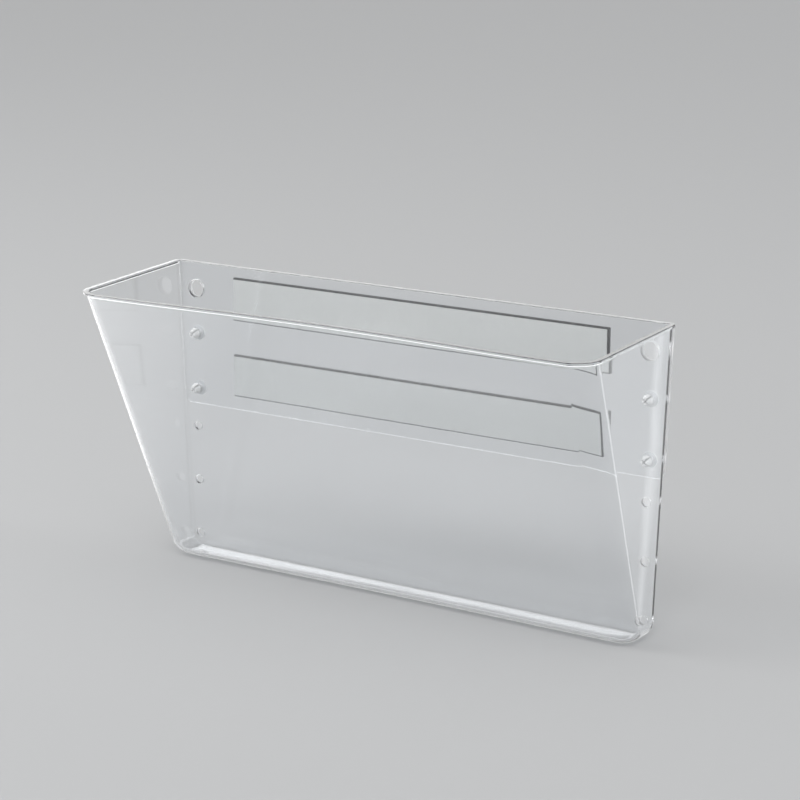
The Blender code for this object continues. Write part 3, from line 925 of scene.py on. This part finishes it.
class POCKET_OT_plate(bpy.types.Operator):
    """Build the mounting plate with its softened edges and its holes"""
    bl_idname = "pocket.plate"
    bl_label = "Mounting Plate"

    def execute(self, context):
        scene = context.scene
        sizes, holes = scene.plate_sizes, scene.hole_sizes
        material = clear_plastic("clear plate plastic", scene.pocket_finish, 0.0)
        mesh = plate_mesh(sizes, scene.shell_sizes.side_lean, material)
        mesh = drilled(mesh, hole_places(holes, scene.shell_sizes.wall, True), PLATE_THICKNESS, holes.edge)
        mesh.materials.append(cut_plastic(scene.pocket_finish))
        for face in mesh.polygons:
            face.material_index = int(edge_on(face))
        keep_piece("clear_mounting_plate", weighted(mesh), "plate_plastic", "mounting_plate")
        return {"FINISHED"}


class POCKET_OT_rivets(bpy.types.Operator):
    """Build the four snap rivets that hold the plate to the shell"""
    bl_idname = "pocket.rivets"
    bl_label = "Snap Rivets"

    def execute(self, context):
        scene = context.scene
        mesh = rivets_mesh(scene.rivet_sizes, rivet_plastic(scene.pocket_finish))
        keep_piece("snap_rivets", mesh, "rivet_plastic", *RIVETS)
        return {"FINISHED"}


class POCKET_OT_magnets(bpy.types.Operator):
    """Give the magnet strips and their tapes their finishes"""
    bl_idname = "pocket.magnets"
    bl_label = "Magnets and Tapes"

    def execute(self, context):
        finish = context.scene.pocket_finish
        for names, material, slot in ((MAGNETS, magnet_rubber(finish), "magnet"),
                                      (TAPES, foam_tape(finish), "tape")):
            for name in names:
                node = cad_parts[name]
                node.data.materials.clear()
                node.data.materials.append(material)
        return {"FINISHED"}


def camera_matrix(stage):
    """Where the camera stands and how it is turned: yaw, then pitch, then roll."""
    turn, tilt, roll = stage.camera_turn, stage.camera_tilt, stage.camera_roll
    upright = Matrix.Rotation(turn, 4, "Z") @ Matrix.Rotation(math.pi / 2 - tilt, 4, "X")
    return Matrix.Translation(stage.camera_place) @ upright @ Matrix.Rotation(roll, 4, "Z")


def add_lamp(name, offset, size, strength):
    """A soft box that faces the object from an offset."""
    lamp = bpy.data.lights.new(name, "AREA")
    lamp.shape = "RECTANGLE"
    lamp.size, lamp.size_y = size
    lamp.energy = strength
    holder = add_object(name, lamp)
    holder.location = (CAD_LOW + CAD_HIGH) / 2 + offset
    holder.rotation_euler = (-offset).to_track_quat("-Z", "Y").to_euler()
    holder.visible_camera = False


def add_sun(stage):
    sun = bpy.data.lights.new("broad sun", "SUN")
    sun.energy, sun.angle = stage.sun_strength, SUN_SPREAD
    holder = add_object("broad sun", sun)
    holder.rotation_euler = SUN_WAY.to_track_quat("-Z", "Y").to_euler()


def add_floor(stage):
    shape = bmesh.new()
    bmesh.ops.create_circle(shape, cap_ends=True, segments=FLOOR_SIDES, radius=FLOOR_RADIUS)
    bmesh.ops.translate(shape, verts=shape.verts, vec=(0.0, 0.0, CAD_LOW.z - HOLD))
    mesh = bpy.data.meshes.new("floor")
    shape.to_mesh(mesh)
    shape.free()
    surface = SurfaceMaker("pale floor")
    surface.set(Base_Color=(*stage.floor, 1.0), Roughness=0.9, Specular_IOR_Level=0.1)
    # Painted reflection: the floor glows for glossy reflection rays only, brightest to the left and in two
    # beams on the right, which paint a white left edge and highlight lines on the right front corner and
    # side.
    beams = (*CORNER_PAINTED_BEAM, stage.corner_beam), (*SIDE_PAINTED_BEAM, stage.side_beam)
    surface.painted_reflection(stage.left_gleam, stage.gleam, stage.right_gleam,
                        CAD_HIGH.x + GLEAM_START, CAD_HIGH.x + GLEAM_STOP, beams)
    mesh.materials.append(surface.material)
    add_object("floor", mesh)


def add_world(scene, stage):
    world = bpy.data.worlds.new("studio")
    world.use_nodes = True
    nodes = NodeMaker(world.node_tree)
    way = nodes.add("ShaderNodeTexCoord", out="Generated")
    stops = ((place, getattr(stage, name)) for place, name in WORLD_STOPS)
    light = nodes.ramp(nodes.part(way, "Z"), *stops)
    nodes.plug(light, world.node_tree.nodes["Background"].inputs["Color"])
    scene.world = world


class POCKET_OT_stage(bpy.types.Operator):
    """Set the pale floor, the soft lamps, the world and the camera"""
    bl_idname = "pocket.stage"
    bl_label = "Stage"

    def execute(self, context):
        scene = context.scene
        stage = scene.pocket_stage
        add_floor(stage)
        add_world(scene, stage)
        add_lamp("left softbox", *LEFT_SOFTBOX, stage.left_power)
        add_lamp("right strip", *RIGHT_STRIP, stage.right_power)
        add_sun(stage)
        lens = bpy.data.cameras.new("camera")
        lens.lens = stage.camera_lens
        lens.sensor_width = SENSOR_WIDTH
        camera = add_object("camera", lens)
        camera.matrix_world = camera_matrix(stage)
        scene.camera = camera
        scene.view_settings.view_transform = "Standard"
        return {"FINISHED"}


OPERATORS = (POCKET_OT_shell, POCKET_OT_plate, POCKET_OT_rivets, POCKET_OT_magnets, POCKET_OT_stage)


class POCKET_PT_panel(bpy.types.Panel):
    """Buttons for the pieces and the sizes that they are built from"""
    bl_idname = "POCKET_PT_panel"
    bl_label = "Document Pocket"
    bl_space_type = "VIEW_3D"
    bl_region_type = "UI"
    bl_category = "Pocket"

    def draw(self, context):
        for operator in OPERATORS:
            self.layout.operator(operator.bl_idname)
        for name, kind in SETTINGS.items():
            box = self.layout.box()
            for key in kind.__annotations__:
                box.prop(getattr(context.scene, name), key)


CLASSES = (*SETTINGS.values(), *OPERATORS, POCKET_PT_panel)


def register():
    for kind in CLASSES:
        bpy.utils.register_class(kind)
    for name, kind in SETTINGS.items():
        setattr(bpy.types.Scene, name, PointerProperty(type=kind))


def unregister():
    for name in SETTINGS:
        delattr(bpy.types.Scene, name)
    for kind in reversed(CLASSES):
        bpy.utils.unregister_class(kind)


def main():
    register()
    bpy.ops.pocket.shell()
    bpy.ops.pocket.plate()
    bpy.ops.pocket.rivets()
    bpy.ops.pocket.magnets()
    bpy.ops.pocket.stage()


if __name__ == "__main__":
    main()
